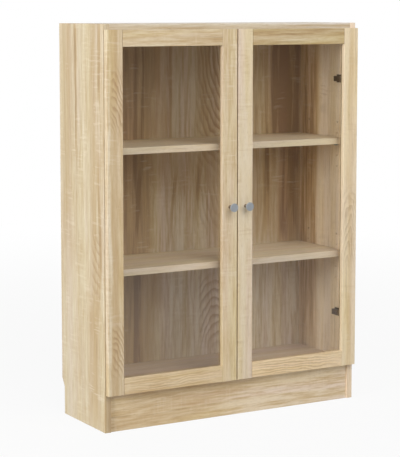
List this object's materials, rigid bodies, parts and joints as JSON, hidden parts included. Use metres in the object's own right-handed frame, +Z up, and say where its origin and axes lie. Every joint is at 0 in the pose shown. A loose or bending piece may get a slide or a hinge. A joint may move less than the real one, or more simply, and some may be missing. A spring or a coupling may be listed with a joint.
{
  "type": "display cabinet",
  "caption": "Free-standing oak-effect display cabinet with framed glass doors on concealed hinges, adjustable shelves and a recessed plinth.",
  "frame": {"origin": "on the floor under the middle of the cabinet's whole box, knobs included", "axes": "+Z up, +X to the right as seen from the front, +Y towards the back; the doors open towards -Y"},
  "size_m": [0.802, 0.3078, 1.086],
  "materials": {
    "oak": "light oak-effect foil, satin, straight grain with some cathedral figure",
    "oak_back": "light oak-effect printed board, matt",
    "glass": "clear flat glass",
    "glazing_strip": "tan plastic, satin",
    "bumper": "soft pale pad",
    "knob_metal": "matt grey-silver metal",
    "steel": "bright zinc-plated steel",
    "hinge_metal": "dark bronze-brown plated steel"
  },
  "bodies": {
    "case": {"side_panel_left": "oak", "side_panel_right": "oak", "top_panel": "oak", "bottom_panel": "oak", "plinth_board": "oak", "back_panel": "oak_back", "shelf_lower": "oak", "shelf_upper": "oak", "shelf_pin_lower_left_front": "steel", "shelf_pin_lower_left_rear": "steel", "shelf_pin_lower_right_front": "steel", "shelf_pin_lower_right_rear": "steel", "shelf_pin_upper_left_front": "steel", "shelf_pin_upper_left_rear": "steel", "shelf_pin_upper_right_front": "steel", "shelf_pin_upper_right_rear": "steel", "hinge_plate_left_lower": "hinge_metal", "hinge_plate_left_upper": "hinge_metal", "hinge_plate_right_lower": "hinge_metal", "hinge_plate_right_upper": "hinge_metal", "hinge_arm_left_lower": "hinge_metal", "hinge_arm_left_upper": "hinge_metal", "hinge_arm_right_lower": "hinge_metal", "hinge_arm_right_upper": "hinge_metal"},
    "links_left": {"hinge_link_left_lower": "hinge_metal", "hinge_link_left_upper": "hinge_metal"},
    "links_right": {"hinge_link_right_lower": "hinge_metal", "hinge_link_right_upper": "hinge_metal"},
    "door_left": {"door_left_hinge_stile": "oak", "door_left_meeting_stile": "oak", "door_left_top_rail": "oak", "door_left_bottom_rail": "oak", "door_left_glass": "glass", "door_left_strip_left": "glazing_strip", "door_left_strip_right": "glazing_strip", "door_left_strip_bottom": "glazing_strip", "door_left_strip_top": "glazing_strip", "door_left_bumper": "bumper", "door_left_knob": "knob_metal", "door_left_knob_screw": "steel", "hinge_cup_left_lower": "hinge_metal", "hinge_cup_left_upper": "hinge_metal"},
    "door_right": {"door_right_hinge_stile": "oak", "door_right_meeting_stile": "oak", "door_right_top_rail": "oak", "door_right_bottom_rail": "oak", "door_right_glass": "glass", "door_right_strip_left": "glazing_strip", "door_right_strip_right": "glazing_strip", "door_right_strip_bottom": "glazing_strip", "door_right_strip_top": "glazing_strip", "door_right_bumper": "bumper", "door_right_knob": "knob_metal", "door_right_knob_screw": "steel", "hinge_cup_right_lower": "hinge_metal", "hinge_cup_right_upper": "hinge_metal"}
  },
  "joints": [
    {"name": "left_link_swing", "type": "hinge", "parent": "case", "child": "links_left", "pos_m": [-0.367, -0.1066, 0.58675], "axis": [0, 0, 1], "range_deg": [0, 21]},
    {"name": "left_door_swing", "type": "hinge", "parent": "links_left", "child": "door_left", "pos_m": [-0.3896, -0.1171, 0.58675], "axis": [0, 0, -1], "range_deg": [0, 121]},
    {"name": "right_link_swing", "type": "hinge", "parent": "case", "child": "links_right", "pos_m": [0.367, -0.1066, 0.58675], "axis": [0, 0, -1], "range_deg": [0, 21]},
    {"name": "right_door_swing", "type": "hinge", "parent": "links_right", "child": "door_right", "pos_m": [0.3896, -0.1171, 0.58675], "axis": [0, 0, 1], "range_deg": [0, 121]}
  ],
  "couplings": [
    {"joint": "left_link_swing", "follows": "left_door_swing", "ratio": 0.17355},
    {"joint": "right_link_swing", "follows": "right_door_swing", "ratio": 0.17355}
  ]
}
